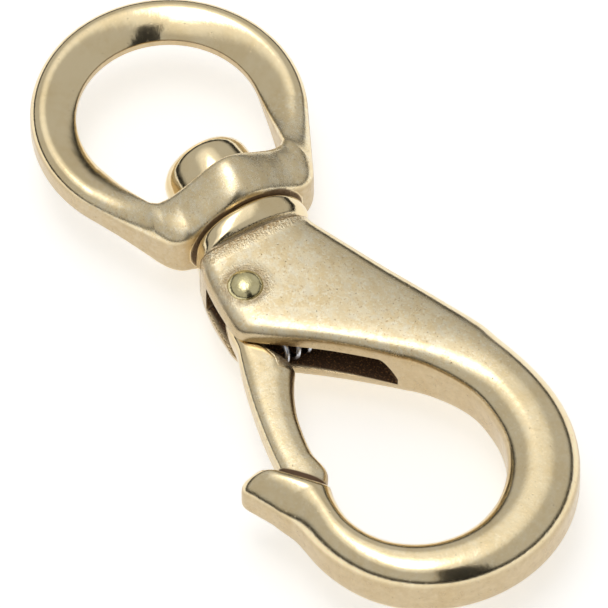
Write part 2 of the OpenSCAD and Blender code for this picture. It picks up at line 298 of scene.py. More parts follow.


# %% [markdown]
# The cast brass. The real casting was tumbled and polished: the ring and the bar shine, the broad
# cheek stays satin and mottled, fine casting pits are left, and brown grime sits where no cloth
# reaches. Each piece carries four numbers per point: satin; tarnish, which is real tarnish plus painted
# shade on the side walls and a painted shadow on the gate's end; grime, which is real grime plus that
# painted shadow and painted shade under the coil; and raw (skin as it came from the sand). Painting
# them by hand would tie them to one view, so they are worked out from the shape.

# %% Cast brass
BRASS = (0.87, 0.73, 0.47, 1)
BRASS_DEEP = (0.81, 0.65, 0.38, 1)
BRASS_CREAM = (0.93, 0.82, 0.58, 1)
BRASS_GREY = (0.87, 0.80, 0.62, 1)
BRASS_GOLD = (0.87, 0.70, 0.40, 1)
FLECK = (0.97, 0.90, 0.70, 1)
SPECK = (0.50, 0.32, 0.15, 1)
TARNISH_AND_SHADE_COLOUR = (0.41, 0.30, 0.17, 1)
PIT = (0.28, 0.18, 0.09, 1)
GRIME_AND_SHADOW_COLOUR = (0.13, 0.070, 0.034, 1)
GRIME_ORANGE = (0.56, 0.30, 0.12, 1)


def cast_brass():
    material, shader, place = finish_tree("cast_brass", 1.0)
    satin, tarnish, grime, raw = (attribute(place, key) for key in ("satin", "tarnish", "grime", "raw"))
    cloud = place.noise(0.22, 4, 0.6)
    mottle = place.noise(0.9, 5, 0.65)
    patch = place.stretch(1.0, 1.0, 0.3).noise(0.5, 6, 0.7)
    bloom = place.stretch(0.8, 1.1, 0.3).noise(0.62, 5, 0.65)
    grain = place.noise(3.6, 3, 0.6)
    fleck = place.noise(2.2, 4, 0.6)
    speck = place.noise(3.0, 2, 0.5)
    pits = place.noise(2.3, 2, 0.5).step(0.70, 0.75) * (0.3 + 0.7 * satin)
    scratch = place.stretch(1.0, 0.12, 1.0).noise(7, 2, 0.5)

    warm = cloud.step(0.35, 0.75).blend(BRASS, BRASS_DEEP)
    cream = (patch.step(0.46, 0.58) * satin * 0.8).blend(warm, BRASS_CREAM)
    grey = (bloom.step(0.50, 0.62) * satin * 0.6).blend(cream, BRASS_GREY)
    gold = (mottle.step(0.50, 0.66) * satin * 0.7).blend(grey, BRASS_GOLD)
    light = (fleck.step(0.54, 0.64) * satin * 0.7).blend(gold, FLECK)
    specked = (speck.step(0.62, 0.72) * satin * 0.55).blend(light, SPECK)
    pitted = (pits * 0.8).blend(specked, PIT)
    cast = (raw * 0.95).blend(pitted, grain.step(0.44, 0.58).blend(SPECK, FLECK))
    # Tarnish colour: real tarnish in the cup, round the rivet and along the seam; on the side walls it is
    # painted shade, and on the gate's end a painted shadow.
    tarnished_and_shaded = (tarnish * (0.7 + 0.6 * mottle)).blend(cast, TARNISH_AND_SHADE_COLOUR)
    # Grime colour: real grime in the slot, the cup and the gate's seat, and a painted shadow on the gate's
    # end.
    dirt_and_shadow = (grain.step(0.54, 0.68) * raw).blend(GRIME_AND_SHADOW_COLOUR, GRIME_ORANGE)
    soiled_and_shaded = (grime * (0.75 + 0.5 * mottle)).step(0.15, 0.75)
    connect(shader, "Base Color", soiled_and_shaded.blend(tarnished_and_shaded, dirt_and_shadow))

    gloss = (0.09 + 0.05 * cloud + satin * (0.10 + 0.22 * mottle) + tarnish * (0.06 + 0.16 * mottle)
             + raw * 0.18 + soiled_and_shaded * 0.3 + pits * 0.2)
    connect(shader, "Roughness", gloss)
    connect(shader, "Metallic", 1.0 - soiled_and_shaded * 0.7)

    relief = (cloud * 0.22 + mottle * (0.006 + 0.07 * satin + 0.04 * tarnish + 0.30 * raw)
              + grain * (0.003 + 0.03 * satin + 0.01 * tarnish + 2.0 * raw)
              + scratch * (0.004 + 0.010 * satin + 0.012 * tarnish) - pits * 0.14)
    bump = place.make("ShaderNodeBump", {}, {"Height": relief, "Strength": 0.55, "Distance": 0.0004})
    connect(shader, "Normal", bump)
    return material


brass = cast_brass()
print("finish:", brass.name)

# %% [markdown]
# The hook casting: head, post, shoulder, cheeks, hook and beak are one lump of metal, so they are
# one skin here too. Its sections start as circles about the swivel axis, grow into the flat body,
# follow the hook round its bowl and end at the beak. Between the cheeks the section is a U: the
# slot is a notch that runs in from the inner edge to the slot's ceiling.

# %% Sizes shared with the solids
EYE_IN_R, EYE_BAR_W, EYE_BAR_T = 12.7, 6.3, 5.4
BARREL_X, BARREL_LEN, BARREL_T = 14.4, 6.8, 18.9
CUP_DEPTH, CUP_W, CUP_T, SWIVEL_FIT, SWIVEL_FLOAT = 1.0, 17.2, 13.8, 0.06, 0.3
POST_R, HEAD_R, HEAD_H, SHOULDER_W, SHOULDER_T, SHOULDER_LEN = 4.2, 6.4, 6.2, 16.9, 14.2, 4.8
LENGTH, BOWL_R, BACK_W, END_W, LOW_W, END_RISE = 107.6, 13.1, 9.6, 8.0, 6.0, -0.5
HOOK_T, BODY_T, SLOT_W, NECK_W, NECK_SHIFT, CEILING_Y = 9.8, 10.6, 5.0, 13.4, 1.6, 6.0
CORNER = np.array([38.2, -11.3])
PIVOT = np.array([32.3, -6.5])
TONGUE_R, TONGUE_GAP = 3.6, 1.6
CLOSE_ANGLE, CLOSE_AT, CLOSE_GAP = 41.0, -104.5, 0.45
COIL_X, COIL_D, WIRE_D, COIL_TURNS, SPRING_GAP = CORNER[0] + 2.6, 4.2, 0.75, 6.5, 0.2
SEAT_Y = 3.6 + CORNER[1]
GATE_T = SLOT_W - 2 * 0.25

EYE_OUT_R = EYE_IN_R + EYE_BAR_W
BARREL_END = BARREL_X + BARREL_LEN
CUP_FLOOR = BARREL_END - CUP_DEPTH
HEAD_SEAT = BARREL_X - SWIVEL_FLOAT
SHOULDER_X = CUP_FLOOR + SWIVEL_FLOAT
BOWL = np.array([LENGTH - EYE_OUT_R - BOWL_R - END_RISE - END_W, 0.0])
CLOSE_RIM = BOWL + polar(BOWL_R, CLOSE_AT)
CLOSE_DIR = -polar(1, CLOSE_ANGLE)
CLOSE_OUT = np.array([np.sin(np.radians(CLOSE_ANGLE)), -np.cos(np.radians(CLOSE_ANGLE))])

# %% Stations of the hook
LIP_AT, LIP_RISE, BACK_START = 157, 3.5, 129
LIP_IN = BOWL + polar(BOWL_R + LIP_RISE, LIP_AT)
BACK_OUT = BOWL + polar(BOWL_R + LIP_RISE + BACK_W - 1.5, BACK_START)
NECK_X = SHOULDER_X
NECK_OUT = np.array([NECK_X, NECK_W / 2 - NECK_SHIFT])
NECK_IN = np.array([NECK_X, -NECK_W / 2 - NECK_SHIFT])
HOOK_START, BEAK_START, BEAK_END = 35, 112, 121
HB, HH = BODY_T / 2, HOOK_T / 2

hook_keys = [
    [HOOK_START, [LIP_AT, LIP_RISE, BACK_START, BACK_W - 1.5, mix(HB, HH, 0.4)]],
    [40, [138, 1.7, 121, BACK_W - 0.9, mix(HB, HH, 0.7)]],
    [46, [118, 0.5, 109, BACK_W - 0.6, HH]],
    [53, [95, -0.6, 93, BACK_W, HH]],
    [67, [50, -1.2, 50, BACK_W + 0.2, HH]],
    [82, [0, END_RISE, 0, END_W, HH]],
    [95, [-45, 0.1, -45, LOW_W + 0.6, HH]],
    [103, [-74, 0, -74, LOW_W, HH]],
    [108, [-90, -0.4, -90, LOW_W + 0.4, HH]],
    [BEAK_START, [CLOSE_AT + 3, -0.7, -101, LOW_W + 2.5, HH]],
]


def hook_station(t):
    """Edge points and half thickness round the bowl: inner edge at the bowl's radius plus a rise,
    outer edge one bar width further out, each at its own angle."""
    inner_at, rise, outer_at, width, half_t = through(hook_keys, t).T
    r = BOWL_R + rise
    outer, inner = BOWL + polar(r + width, outer_at), BOWL + polar(r, inner_at)
    return np.concatenate([outer, inner, half_t[:, None]], 1)


def key(place, outer, inner, half_t):
    return [place, [*outer, *inner, half_t]]


def back_at(t):
    return mix(NECK_OUT, BACK_OUT, t)


body_keys = [
    key(0, back_at(0), NECK_IN, HB),
    key(7, back_at(0.22), [mix(NECK_X, CORNER[0], 0.45), mix(NECK_IN[1], CORNER[1], 0.72)], HB),
    key(14, back_at(0.43), CORNER + [-2.7, 0.2], HB),
    key(16.5, back_at(0.50), CORNER + [-0.5, 0.45], HB),
    key(19, back_at(0.57), CORNER + [1.0, 1.8], HB),
    key(28, back_at(0.80), mix(CORNER, LIP_IN, 0.55) + [-0.5, 0.5], HB),
    key(HOOK_START, BACK_OUT, LIP_IN, mix(HB, HH, 0.4)),
    [HOOK_START + 5, hook_station(HOOK_START + 5)[0]],
]


def beak_out(rise, degrees):
    return BOWL + polar(BOWL_R + LOW_W + rise, degrees)


def nose(along, deep):
    """A point of the beak's end, measured from the rim along the closing face and into the beak."""
    return CLOSE_RIM + CLOSE_DIR * along + CLOSE_OUT * deep


beak_keys = [
    [BEAK_START - 3, hook_station(BEAK_START - 3)[0]],
    [BEAK_START, hook_station(BEAK_START)[0]],
    key(114, beak_out(3.5, -106.5), nose(1, 0), HH),
    key(117, nose(10.4, 4.0), nose(4.2, 0), HH - 0.2),
    key(119, nose(10.9, 2.7), nose(6.0, 0), HH - 0.6),
    key(BEAK_END, nose(10.4, 1.5), nose(7.5, 0.2), HH - 1.6),
]
form_keys = [
    [0, [5, 9, 0.22, 0.10, -0.72, 3, 2]],
    [10, [5, 9, 0.24, 0.10, -0.78, 3, 2]],
    [17, [5, 7, 0.25, 0.12, -0.75, 3, 2]],
    [28, [6, 7, 0.30, 0.12, -0.70, 3, 2]],
    [46, [7, 8, 0.42, 0.3, -0.2, 3.2, 2]],
    [90, [7, 8, 0.42, 0.3, -0.2, 3.2, 2]],
    [102, [7, 8, 0.47, 0.3, -0.2, 2.5, 2]],
    [BEAK_START, [7, 8, 0.56, 0.3, -0.3, 1.7, 2]],
    [BEAK_END, [6, 6, 0.56, 0.25, -0.3, 1.6, 2]],
]
BODY_FROM = 6.0
body_t, hook_t, beak_t = (np.arange(BODY_FROM, HOOK_START, 0.2), np.arange(HOOK_START, BEAK_START, 0.4),
                          np.linspace(BEAK_START, BEAK_END, 46))
run = np.concatenate([through(body_keys, body_t), hook_station(hook_t), through(beak_keys, beak_t)])
run_form = through(form_keys, np.concatenate([body_t, hook_t, beak_t]))
print(len(run), "stations from the body to the beak")

# %% Round start and rounded tip
# Head, post and collar are circles: [x, radius]. The shoulder is an oval dome that drops to the
# cheeks: [x, [upper y, lower y, half thickness, outer n, inner n, outer drop, inner drop]].
head_x = HEAD_SEAT - HEAD_H
COLLAR_R, DOME_X, DOME_W, DOME_T = CUP_T / 2 - 0.5, BARREL_END + 0.2, SHOULDER_W / 2, SHOULDER_T / 2
SHOULDER_END = SHOULDER_X + SHOULDER_LEN - 0.5
circles = np.array([
    [head_x, 0.6], [head_x + 0.02, 2.2], [head_x + 0.12, 3.5], [head_x + 0.4, 4.7], [head_x + 0.9, 5.55],
    [head_x + 1.6, 6.1], [head_x + 2.4, HEAD_R - 0.05], [head_x + 3.2, HEAD_R], [HEAD_SEAT - 0.8, HEAD_R],
    [HEAD_SEAT - 0.35, HEAD_R - 0.1], [HEAD_SEAT - 0.08, HEAD_R - 0.4], [HEAD_SEAT, HEAD_R - 0.8],
    [HEAD_SEAT, POST_R + 0.05], [HEAD_SEAT + 0.05, POST_R], [SHOULDER_X - 0.05, POST_R],
    [SHOULDER_X, POST_R + 0.05], [SHOULDER_X, COLLAR_R - 0.2], [BARREL_END - 0.1, COLLAR_R],
])
start = np.stack([circles[:, 0], circles[:, 1], circles[:, 0], -circles[:, 1], circles[:, 1]], 1)
dome_keys = [
    [DOME_X, [DOME_W - 1.2, 1.2 - DOME_W, DOME_T - 0.5, 2, 2.2, 0, 0]],
    [DOME_X + 0.3, [DOME_W - 0.55, 0.55 - DOME_W, DOME_T - 0.2, 2, 2.4, 0, 0]],
    [DOME_X + 0.8, [DOME_W - 0.1, 0.05 - DOME_W, DOME_T - 0.05, 2, 2.7, 0, 0]],
    [DOME_X + 1.4, [DOME_W, -DOME_W - 0.15, DOME_T - 0.12, 2, 3, 0, 0]],
    [SHOULDER_END - 1.2, [DOME_W - 0.1, -DOME_W - 0.4, DOME_T - 0.35, 2.05, 3.2, 0, 0]],
    [SHOULDER_END - 0.6, [DOME_W - 0.5, -DOME_W - 0.65, DOME_T - 0.62, 2.15, 3.4, 0, 0]],
    [SHOULDER_END - 0.25, [DOME_W - 0.8, -DOME_W - 0.8, DOME_T - 1.0, 2.3, 3.8, 0, 0]],
    [SHOULDER_END - 0.05, [DOME_W - 1.0, -DOME_W - 0.95, DOME_T - 1.5, 2.6, 4.5, 0.05, 0.03]],
    [SHOULDER_END + 0.15, [DOME_W - 1.1, -DOME_W - 1.0, HB, 3.4, 6, 0.13, 0.06]],
    [SHOULDER_END + 0.4, [DOME_W - 1.05, -DOME_W - 1.15, HB, 4.5, 8, 0.2, 0.09]],
]
dome_x = np.linspace(DOME_X, SHOULDER_END + 0.4, 56)
dome = through(dome_keys, dome_x)
dome_stations = np.stack([dome_x, dome[:, 0], dome_x, dome[:, 1], dome[:, 2]], 1)
dome_form = np.concatenate([dome[:, 3:], np.tile([-0.72, 3, 2], (len(dome), 1))], 1)

TIP_LONG = 0.8
tip = run[-1]
tip_mid, tip_half = (tip[:2] + tip[2:4]) / 2, (tip[:2] - tip[2:4]) / 2
tip_dir = np.array([-tip_half[1], tip_half[0]]) / np.linalg.norm(tip_half)
tip_dir = tip_dir * np.sign(tip_dir @ (tip_mid - run[-8, :2]))
bend = np.radians(np.linspace(8, 84, 12))[:, None]
tip_centre = tip_mid + tip_dir * TIP_LONG * np.sin(bend)
tip_stations = np.concatenate(
    [tip_centre + tip_half * np.cos(bend), tip_centre - tip_half * np.cos(bend), tip[4] * np.cos(bend)], 1)

stations = np.concatenate([start, dome_stations, run, tip_stations])
forms = np.concatenate([np.tile([2.0, 2.0, 0, 0, 0, 2, 2], (len(start), 1)), dome_form, run_form,
                        np.repeat(run_form[-1:], len(tip_stations), 0)])
print(len(stations), "stations in all")

# %% U section with the slot
SLANT_FROM, SLANT_TO = 50.2, 52.4


def slot_share(outer, inner, samples=400):
    """How far the slot runs in from the inner edge, as a share of the station's width: points on
    the line from the inner edge are tested against the slot's outline until one lies outside."""
    share = np.linspace(0, 1, samples)
    x, y = np.moveaxis(mix(inner[:, None], outer[:, None], share[None, :, None]), -1, 0)
    left = PIVOT[0] - TONGUE_R - 0.2
    right = LIP_IN[0] + 2 + (CEILING_Y - y) * 6 / (CEILING_Y - CORNER[1] + 8)
    ceiling = np.minimum(CEILING_Y, mix(PIVOT[1], CEILING_Y, (x - left) / (COIL_X - COIL_D - left)))
    round_end = np.hypot(x - PIVOT[0], y - PIVOT[1]) < TONGUE_R + TONGUE_GAP
    inside = ((y < ceiling) | round_end) & (x > left) & (x < right)
    return share[np.argmin(inside, 1)]


def wall_angle(z, half_t, form):
    """Angle of the point of the inner edge at height z: with t = z / wall height,
    tan = t / (1 - |t|^n)^(1/n)."""
    t = np.clip(z / (half_t * (1 - form[:, 3:4])), -0.9, 0.9)
    return np.pi - np.arctan2(t, (1 - np.abs(t) ** form[:, 1:2]) ** (1 / form[:, 1:2]))


def u_section_grid(station, form, outer_points=52, flank_points=24, slot_points=22):
    """Crowned section with a notch: the outer half and the two inner flanks follow the section as far
    as the slot's lips; then the wall runs in, the ceiling across, and the other wall back. The upper
    lip comes down to the lower one at the slot's far end, which is cut off at a slant."""
    outer, inner, half_t = station[:, :2], station[:, 2:4], station[:, 4:5]
    depth = slot_share(outer, inner)[:, None] * 2
    cut = (depth > 0.02) * 1.0
    closing = np.clip((inner[:, :1] - SLANT_FROM) / (SLANT_TO - SLANT_FROM), 0, 1) ** 1.6
    lip_up = mix(SLOT_W / 2, -SLOT_W * 0.42, closing)
    side = np.linspace(0, 1, flank_points + 1)[None, 1:]
    crowd = side - 0.05 * np.sin(2 * np.pi * side)
    out_f, out_z = across_and_up(around(-90, 90, outer_points)[None], form)
    top_f, top_z = across_and_up(mix(np.pi / 2, wall_angle(lip_up, half_t, form), crowd), form)
    low_f, low_z = across_and_up(mix(np.pi / 2, wall_angle(SLOT_W / 2, half_t, form), crowd), form)
    out_z, top_z, low_z = half_t * out_z, half_t * top_z, -half_t * low_z[:, ::-1]
    low_f = low_f[:, ::-1]
    s = np.linspace(0, 1, 2 * slot_points - 1)[None]
    floor_f = np.maximum(depth - 1, top_f[:, -1:])
    into = np.clip(s / 0.2, 0, 1) * np.clip((1 - s) / 0.2, 0, 1)
    lip_f = mix(top_f[:, -1:], low_f[:, :1], s)
    over = np.clip((s - 0.2) / 0.6, 0, 1)
    wall_f, wall_z = mix(lip_f, floor_f, into), mix(top_z[:, -1:], low_z[:, :1], over)
    flat_z = mix(top_z[:, -1:], low_z[:, :1], s)
    flat_f, _ = across_and_up(wall_angle(flat_z, half_t, form), form)
    slot_f, slot_z = mix(flat_f, wall_f, cut), mix(flat_z, wall_z, cut)
    f = np.concatenate([out_f, top_f, slot_f[:, 1:-1], low_f], 1)
    z = np.concatenate([out_z, top_z, slot_z[:, 1:-1], low_z], 1)
    cavity = np.concatenate([0 * out_f, 0 * top_f, (into * cut)[:, 1:-1], 0 * low_f], 1)
    return upright(outer, inner, f, z), f, cavity


hook_grid, across, cavity = u_section_grid(stations, forms)
x, y, z = np.moveaxis(hook_grid, -1, 0)
print("hook grid", hook_grid.shape, "x", x.min().round(1), x.max().round(1))

# %% Finish numbers of the hook
# Satin on the cheek's face, a raised rough seam behind the shoulder, painted shade on the side walls,
# a dark ring round the rivet, and raw, dirty metal in the slot.
SEAM_X, SEAM_W, SEAM_RISE = SHOULDER_END + 0.8, 0.65, 0.09
# Strength of the painted shade on the side walls.
SIDE_SHADE = 0.62
from_rivet = np.hypot(x - PIVOT[0], y - PIVOT[1])
on_face = ease((np.abs(z) - 4.0) / 0.7) * ease((x - 24.5) / 2) * ease((66 - x) / 16) * (x < 80)
seam = np.exp(-((x - SEAM_X) / SEAM_W) ** 2) * ease((np.abs(z) - 3.2) / 1.5)
seam_line = np.exp(-((x - SHOULDER_END - 0.1) / 0.22) ** 2) * ease((np.abs(z) - 3.2) / 1.5)
rivet_ring = np.exp(-((from_rivet - 2.8) / 0.35) ** 2) * (np.abs(z) > 4)
rivet_rough = ease((4.4 - from_rivet) / 1.6) * (np.abs(z) > 4)
in_cup = ease((DOME_X + 0.25 - x) / 0.3) * ease((x - HEAD_SEAT + 0.3) / 0.3)
inside_slot = ease(cavity * 6)
side_walls = ease((np.abs(across) - 0.9) / 0.08) * ease((x - 24) / 3)
hook_grid[..., 2] += np.sign(z) * seam * SEAM_RISE * (1 + np.sin(2.3 * y) * np.sin(5.1 * y + 1))
# The side walls get painted shade through the tarnish number; the cup, the rivet ring and the seam get real
# tarnish.
hook = skin("hook_casting", hook_grid, satin=np.clip(on_face + 0.25 * (x > 26), 0, 1),
            tarnish=np.clip(SIDE_SHADE * side_walls + 0.8 * in_cup + 0.6 * rivet_ring
                            + 0.35 * seam_line, 0, 1),
            grime=np.clip(inside_slot + 0.45 * seam_line + 0.25 * rivet_ring, 0, 1),
            raw=np.clip(inside_slot + seam + 0.3 * rivet_rough, 0, 1))
dress(hook, "hook", "hook_body", brass)

# %% [markdown]
# The eye: a ring that flattens into two straight arms and a barrel. It is one closed loop of
# sections. The bore and the cup that covers the shoulder are cut out of it afterwards with a
# turned cutter, because a hole across the loop isn't a section of it.

# %% Cutting tool
def cut_out(piece, cutter, sharp=40):
    """Takes the cutter's volume out of the piece and leaves a plain mesh with smooth faces."""
    tool = piece.modifiers.new("cut", "BOOLEAN")
    tool.object, tool.operation, tool.solver = cutter, "DIFFERENCE", "EXACT"
    done = bpy.data.meshes.new_from_object(piece.evaluated_get(bpy.context.evaluated_depsgraph_get()))
    piece.modifiers.clear()
    old, piece.data = piece.data, done
    done.name = piece.name
    bpy.data.meshes.remove(old)
    bpy.data.objects.remove(cutter)
    done.polygons.foreach_set("use_smooth", np.ones(len(done.polygons), bool))
    done.set_sharp_from_angle(angle=math.radians(sharp))
    print(piece.name, "after the cut:", len(done.polygons), "faces")


def point_places(piece):
    """Places of a piece's points, in mm, as three arrays."""
    co = np.empty(len(piece.data.vertices) * 3, np.float32)
    piece.data.vertices.foreach_get("co", co)
    return (co.reshape(-1, 3) / MM).T


def set_numbers(piece, **numbers):
    """Writes a finish number for each point of a piece."""
    for name, value in numbers.items():
        layer = piece.data.attributes.get(name) or piece.data.attributes.new(name, "FLOAT", "POINT")
        layer.data.foreach_set("value", np.broadcast_to(value, len(piece.data.vertices)).astype(np.float32))


# %% Stations of the eye
ARM_IN_AT, ARM_OUT_AT, CORNER_FILL = 78.5, 64.0, 1.2
ROUND_FROM, ROUND_BACK = 0.78, 2.2
RING = [EYE_BAR_T / 2, 7, 8, 0.3, 0.75, 0.4, 2.5, 1.5]
# Half thickness and form along the arm (0 to 1) and from its end to the barrel's middle (1 to 2).
arm_keys = [
    [0, RING],
    [0.4, [3.0, 7, 8, 0.31, 0.55, 0.25, 2.4, 1.6]],
    [0.7, [3.6, 7, 7, 0.31, 0.3, 0.05, 2.2, 1.8]],
    [1, [4.5, 7, 7, 0.32, 0.13, -0.2, 2, 2]],
    [1.25, [5.8, 8, 8, 0.27, 0.04, -0.4, 1.9, 2]],
    [1.5, [7.3, 9, 9, 0.21, 0.01, -0.55, 1.9, 2]],
    [1.8, [8.95, 12, 10, 0.16, 0.01, -0.6, 1.9, 2]],
    [2, [BARREL_T / 2, 12, 10, 0.16, 0.01, -0.6, 1.9, 2]],
    [2.2, [8.95, 12, 10, 0.16, 0.01, -0.6, 1.9, 2]],
]


def arm_y(radius, degrees, x):
    """Straight arm: the tangent that leaves a circle of that radius at that angle."""
    a = np.radians(degrees)
    return (radius - x * np.cos(a)) / np.sin(a)


def eye_half():
    """Stations [outer x, y, inner x, y, half thickness, form] of one half: the arc, the straight
    arm, then across the barrel, whose outer corner is rounded by a quadratic curve,
    (1 - u)^2 a + 2 u (1 - u) b + u^2 c."""
    t = np.linspace(0, 1, 90)[:, None]
    flat = np.ones_like(t)
    arc = np.concatenate([polar(EYE_OUT_R, mix(180, ARM_OUT_AT, t[:, 0])),
                          polar(EYE_IN_R, mix(180, ARM_IN_AT, t[:, 0])), flat * RING], 1)
    arm_in_x, arm_out_x = BARREL_X - 1.7, BARREL_END - 3
    in_end = np.array([arm_in_x, arm_y(EYE_IN_R, ARM_IN_AT, arm_in_x)])
    out_end = np.array([arm_out_x, arm_y(EYE_OUT_R, ARM_OUT_AT, arm_out_x)])
    t = np.linspace(0, 1, 40)[1:, None]
    arm = np.concatenate([mix(polar(EYE_OUT_R, ARM_OUT_AT), out_end, t),
                          mix(polar(EYE_IN_R, ARM_IN_AT), in_end, t), through(arm_keys, t[:, 0])], 1)
    t = np.linspace(0.97, 0, 60)[:, None]
    out_y, in_y = arm_y(EYE_OUT_R, ARM_OUT_AT, BARREL_END), in_end[1] - 0.5
    round_x = BARREL_END - ROUND_BACK
    u = np.clip((t - ROUND_FROM) / (1 - ROUND_FROM), 0, 1)
    corner = ((1 - u) ** 2 * [BARREL_END, out_y * ROUND_FROM] + 2 * u * (1 - u) * [BARREL_END, out_y]
              + u ** 2 * [round_x, arm_y(EYE_OUT_R, ARM_OUT_AT, round_x)])
    outer = np.where(t > ROUND_FROM, corner, np.concatenate([0 * t + BARREL_END, out_y * t], 1))
    barrel = np.concatenate([outer, BARREL_X - CORNER_FILL * t ** 5, in_y * t,
                             through(arm_keys, 2 - t[:, 0])], 1)
    return np.concatenate([arc, arm, barrel])


half = eye_half()
other = half[-2:0:-1] * np.array([1, -1, 1, -1] + [1] * 8)
loop_stations = np.concatenate([half, other])
print(len(loop_stations), "stations round the eye")

# %% Eye skin, bore and finish
eye_grid, eye_across = section_grid(loop_stations[:, :2], loop_stations[:, 2:4], loop_stations[:, 4],
                                    loop_stations[:, 5:], 72)
# Painted shade on the side walls of the ring and the barrel, carried by the tarnish number.
ring_wall = ease((np.abs(eye_across) - 0.93) / 0.05)
eye = skin("eye_casting", eye_grid, loop=True, tarnish=SIDE_SHADE * ring_wall)
bore_r, cup_w, cup_t = POST_R + SWIVEL_FIT, CUP_W / 2, CUP_T / 2
cutter = skin("eye_cutter", oval_grid([
    [BARREL_X - 4, bore_r, bore_r], [CUP_FLOOR, bore_r, bore_r], [CUP_FLOOR, cup_w, cup_t],
    [BARREL_END - 0.25, cup_w, cup_t], [BARREL_END, cup_w + 0.25, cup_t + 0.25],
    [BARREL_END + 3, cup_w + 0.25, cup_t + 0.25]], 128))
cut_out(eye, cutter)
ex, ey, ez = point_places(eye)
from_axis = np.hypot(ey, ez)
in_cup = ease((ex - CUP_FLOOR + 0.2) / 0.3) * ease((1.03 - np.hypot(ey / cup_w, ez / cup_t)) / 0.03)
under_head = np.exp(-((from_axis - HEAD_R - 0.2) / 0.9) ** 2)
under_head = under_head * ease((ex - BARREL_X + 0.8) / 0.6) * (ex < BARREL_X + 0.5)
# The painted wall shade is read back after the cut, and the real tarnish of the cup is added to it.
eye_wall_shade = np.empty(len(ex), np.float32)
eye.data.attributes["tarnish"].data.foreach_get("value", eye_wall_shade)
set_numbers(eye, satin=0.06 + 0.7 * ease((ex - 2) / 9), raw=0.3 * in_cup,
            grime=np.clip(0.5 * in_cup + 0.7 * under_head, 0, 1),
            tarnish=np.clip(np.nan_to_num(eye_wall_shade) + in_cup, 0, 1))
dress(eye, "eye", "swivel_eye", brass)

# %% [markdown]
# The gate lever: a cast lever between the cheeks, held by the rivet. It has a straight back, a
# hollowed front and a square end that closes on the beak. It is a profile along a path as well,
# and its bore is cut like the eye's. Its seat stays dark, where no polish reaches, and its end
# gets a painted shadow, where the beak shades it.

# %% Stations of the gate
END_RIM = CLOSE_RIM - CLOSE_OUT * CLOSE_GAP
GATE_FOOT, GATE_TOE = END_RIM + CLOSE_DIR * 0.1, END_RIM + CLOSE_DIR * 6.3
GATE_ROOT = CORNER + [0.2, -0.1]
GATE_HEEL = GATE_ROOT + [3.2, -1.1]
GATE_NOSE = np.array([COIL_X + COIL_D / 2 + 1.2, SEAT_Y + 2.4])
NOSE_FROM, TONGUE_SHOWN = 0.06, TONGUE_R - 0.4
hollow_keys = [[0, 0], [0.11, -0.8], [0.25, -1.4], [0.43, -1.5], [0.7, -0.6], [0.88, 0.9], [1, 0]]

t = np.linspace(1, NOSE_FROM, 90)[:, None]
blade_out = mix(GATE_HEEL, GATE_TOE, t) + np.concatenate([0 * t, -2 * t * (1 - t)], 1)
blade_in = mix(GATE_NOSE, GATE_FOOT, t) + np.concatenate([0 * t, through(hollow_keys, t[:, 0])], 1)
tongue_keys = [
    [0, [*blade_out[-1], *blade_in[-1]]],
    [1, [*mix(GATE_ROOT, GATE_HEEL, 0.8), *(CORNER + [5.2, 5.4])]],
    [2, [*mix(GATE_ROOT, GATE_HEEL, 0.4), *(CORNER + [3.3, 4.8])]],
    [3, [*GATE_ROOT, *(CORNER + [1.6, 4.0])]],
    [5, [*(CORNER + [-2.7, 0.35]), *(PIVOT + [TONGUE_SHOWN, 1.2])]],
    [6.5, [*(CORNER + [-4.6, 0.95]), *(PIVOT + [1.9, TONGUE_SHOWN - 0.7])]],
    [8, [*(PIVOT + [0.3, 0.05 - TONGUE_SHOWN]), *(PIVOT + [0.3, TONGUE_SHOWN - 0.05])]],
]
tongue_t = np.linspace(0, 8, 60)[1:]
tongue = through(tongue_keys, tongue_t)
swing = np.radians(np.linspace(0, 80, 16))[1:, None]
round_end = np.concatenate([
    PIVOT + TONGUE_SHOWN * np.concatenate([-np.sin(swing), -np.cos(swing)], 1),
    PIVOT + TONGUE_SHOWN * np.concatenate([-np.sin(swing), np.cos(swing)], 1)], 1)
gate_run = np.concatenate([np.concatenate([blade_out, blade_in], 1), tongue, round_end])
gate_half_t = np.full(len(gate_run), GATE_T / 2)
toe = gate_run[0]
toe_mid, toe_half = (toe[:2] + toe[2:]) / 2, (toe[:2] - toe[2:]) / 2
toe_shrink = np.array([0.86, 0.94, 0.985])[:, None]
toe_depth = np.array([0.0, 0.08, 0.25])[:, None]
toe_mid_rows = toe_mid - CLOSE_OUT * toe_depth
toe_rows = np.concatenate([toe_mid_rows + toe_half * toe_shrink, toe_mid_rows - toe_half * toe_shrink], 1)
gate_run = np.concatenate([toe_rows, gate_run[3:]])
gate_half_t = np.concatenate([GATE_T / 2 * toe_shrink[:, 0], gate_half_t[3:]])
print(len(gate_run), "stations along the gate")

# %% Gate skin, bore and finish
GATE_BORE_R, END_SHADOW_REACH = 1.65, 1.25
seat = np.zeros((len(gate_run), 1))
seat[len(t):len(t) + len(tongue), 0] = ease(tongue_t / 0.8) * (1 - ease((tongue_t - 3.4) / 1.4))
GATE_FORM = np.array([3.6, 3, 0.03, 0.1, 0, 2, 2])
SEAT_FORM = np.array([3.6, 3, 0.03, 0.72, -0.4, 2, 1.2])
gate_grid, gate_across = section_grid(gate_run[:, :2], gate_run[:, 2:], gate_half_t,
                                      mix(GATE_FORM, SEAT_FORM, seat), 64)
# Painted shade on the gate's side walls, strongest on the hollowed front.
gate_side_shade = 0.35 * ease((gate_across - 0.9) / 0.08) + 0.85 * ease((-gate_across - 0.86) / 0.1)
in_seat = seat * ease((-gate_across - 0.4) / 0.15)
hidden = ease((38.0 - gate_grid[..., 0]) / 2) * ease((gate_grid[..., 1] - CORNER[1] - 0.5) / 0.8)
